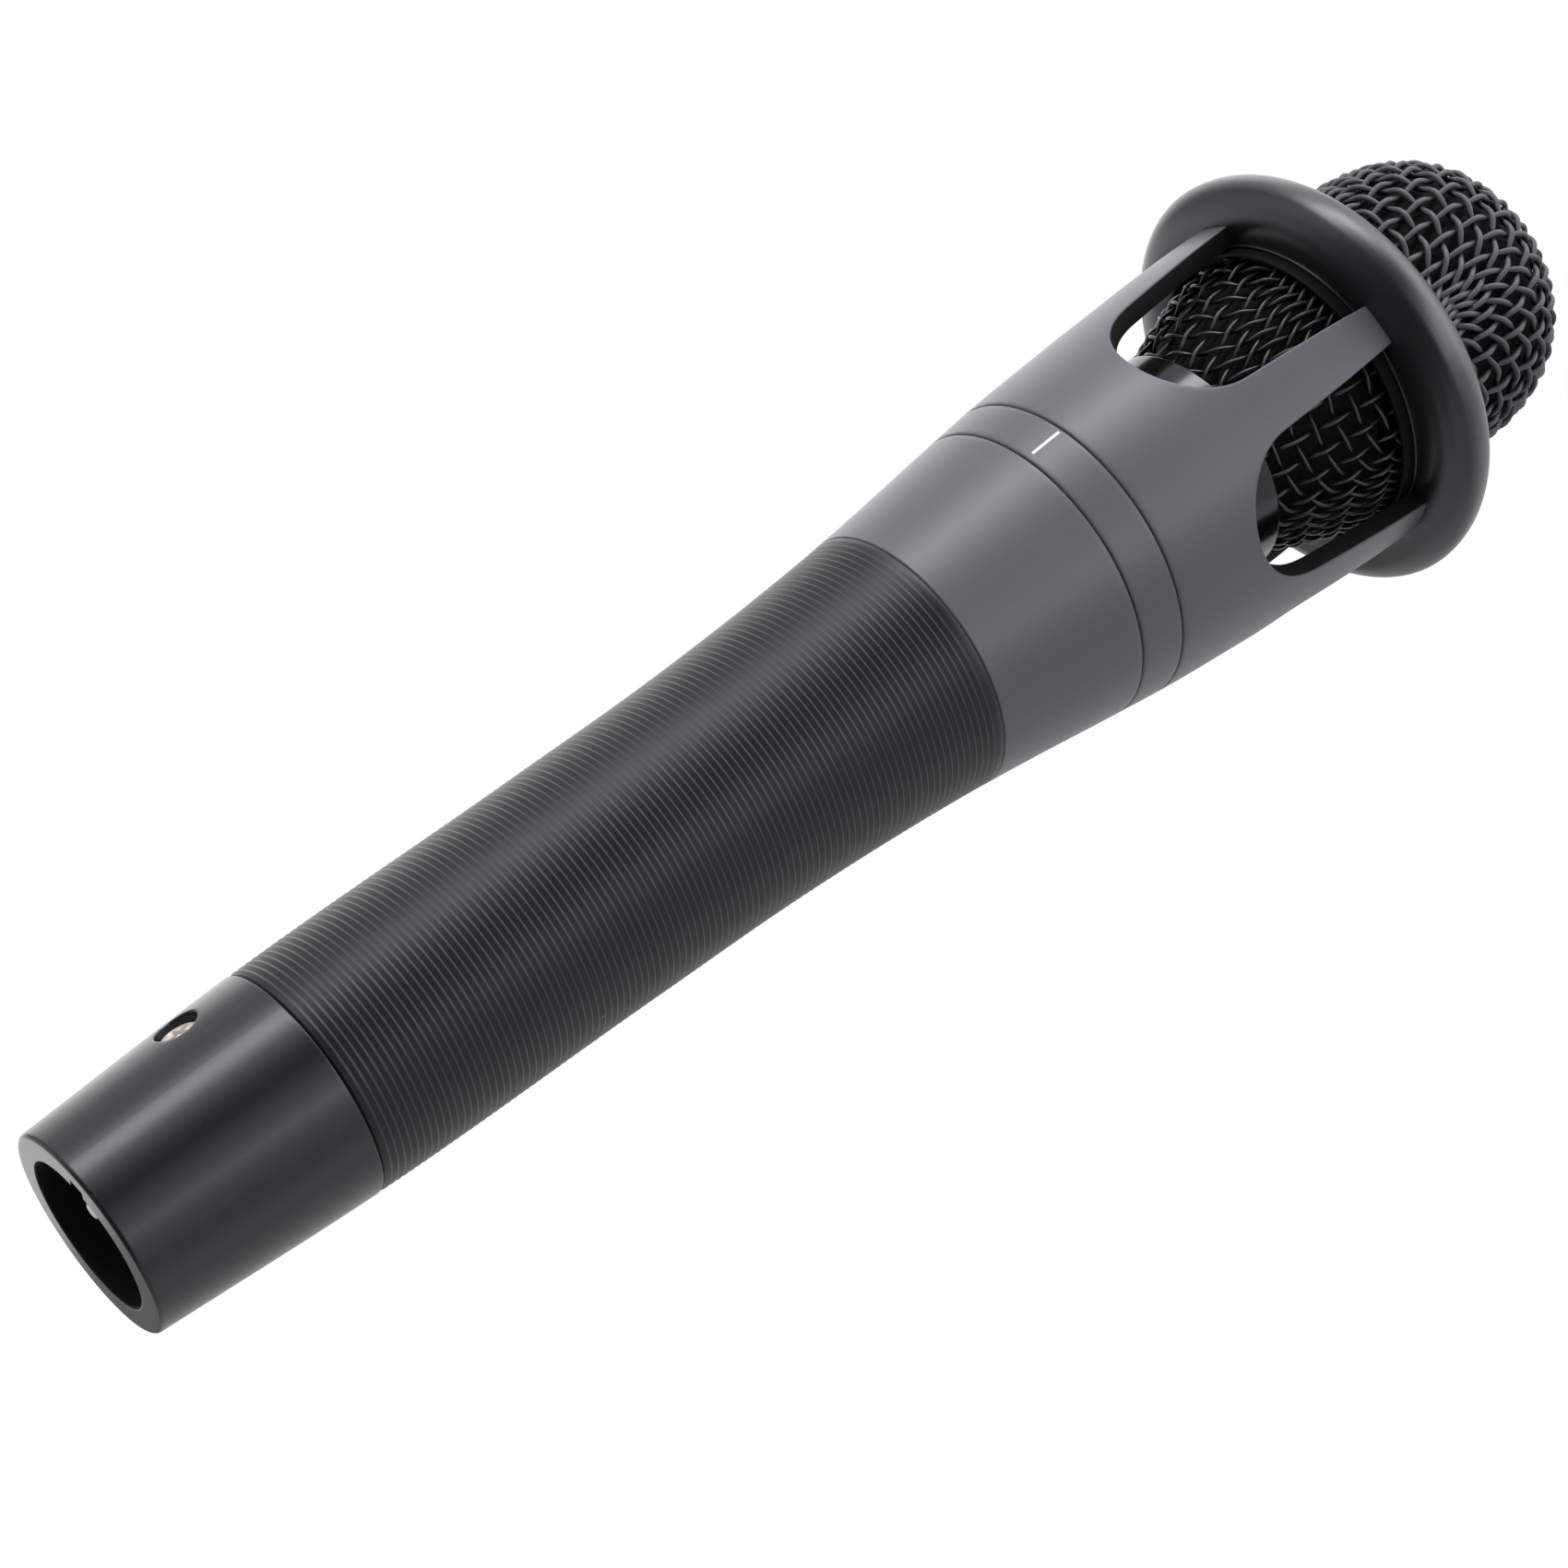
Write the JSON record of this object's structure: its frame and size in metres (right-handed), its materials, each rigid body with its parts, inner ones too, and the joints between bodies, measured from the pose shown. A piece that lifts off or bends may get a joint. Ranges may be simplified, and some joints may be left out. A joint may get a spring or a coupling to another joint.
{
  "type": "dynamic microphone",
  "caption": "Hand-held vocal microphone: ribbed grip, screw-off head with a windowed cage and woven wire grille, sprung moving-coil capsule, three-pin socket in the tail.",
  "frame": {"origin": "centre of the flat tail face, on the microphone's axis", "axes": "+Z along the axis from the tail to the top of the grille; -Y is the side of one strut of the cage, seen in the middle of the picture"},
  "size_m": [0.0508, 0.0508, 0.1993],
  "materials": {
    "tail_black": "satin black paint on cast metal",
    "body_grey": "satin gunmetal paint on cast light alloy",
    "grip_rubber": "matt ribbed rubber",
    "ring_black": "satin black moulding",
    "wire_black": "black painted woven steel wire",
    "collar_black": "gloss black",
    "foam_black": "open-cell foam",
    "insert_plastic": "matt black moulding",
    "contact_silver": "silver-plated brass",
    "screw_steel": "plated steel",
    "thread_brass": "turned brass",
    "plain_alloy": "turned alloy",
    "soft_iron": "plated soft iron",
    "magnet_metal": "plated magnet",
    "copper_wire": "enamelled copper wire",
    "film_clear": "thin polymer film",
    "felt_white": "thin felt",
    "board_brown": "laminate board",
    "cap_black": "satin black",
    "cradle_plastic": "natural moulding",
    "core_iron": "stacked sheet iron",
    "lead_sleeve": "insulated wire",
    "shock_rubber": "soft rubber"
  },
  "bodies": {
    "handle": {"connector_housing": "tail_black", "connector_insert": "insert_plastic", "contact_pin_1": "contact_silver", "contact_pin_2": "contact_silver", "contact_pin_3": "contact_silver", "connector_screw": "screw_steel", "handle_body": "body_grey", "grip_sleeve": "grip_rubber", "band_ring": "body_grey", "ground_lead": "lead_sleeve", "output_leads": "lead_sleeve", "transformer_cradle": "cradle_plastic", "transformer_core": "core_iron", "transformer_winding": "copper_wire", "capsule_leads": "lead_sleeve", "capsule_plate": "plain_alloy", "shock_mount": "shock_rubber"},
    "capsule": {"capsule_shell": "plain_alloy", "terminal_board": "board_brown", "magnet_pot": "soft_iron", "magnet": "magnet_metal", "pole_piece": "soft_iron", "front_plate": "soft_iron", "damping_felt": "felt_white", "lower_clamp_ring": "plain_alloy", "upper_clamp_ring": "plain_alloy", "front_cap": "cap_black"},
    "coil": {"voice_coil": "copper_wire", "diaphragm": "film_clear"},
    "head_thread": {"thread_ring": "thread_brass"},
    "head": {"cage": "body_grey", "base_collar": "collar_black", "clamp_flange": "ring_black", "bumper_ring": "ring_black", "grille_bowl": "wire_black", "grille_dome": "wire_black", "bowl_foam": "foam_black", "dome_foam": "foam_black"}
  },
  "joints": [
    {"name": "head_lift", "type": "slide", "parent": "handle", "child": "head_thread", "axis": [0, 0, 1], "range_m": [0, 0.005]},
    {"name": "head_turn", "type": "hinge", "parent": "head_thread", "child": "head", "pos_m": [0, 0, 0.1315], "axis": [0, 0, 1], "range_deg": [0, 1800]},
    {"name": "capsule_float", "type": "slide", "parent": "handle", "child": "capsule", "axis": [0, 0, 1], "range_m": [-0.0008, 0.0008], "stiffness_N_per_m": 2500, "deforming": ["shock_mount", "capsule_leads"]},
    {"name": "coil_travel", "type": "slide", "parent": "capsule", "child": "coil", "axis": [0, 0, 1], "range_m": [-0.0004, 0.0004], "stiffness_N_per_m": 250, "deforming": ["diaphragm"]}
  ],
  "couplings": [
    {"joint": "head_turn", "follows": "head_lift", "rad_per_m": 6283.2}
  ]
}
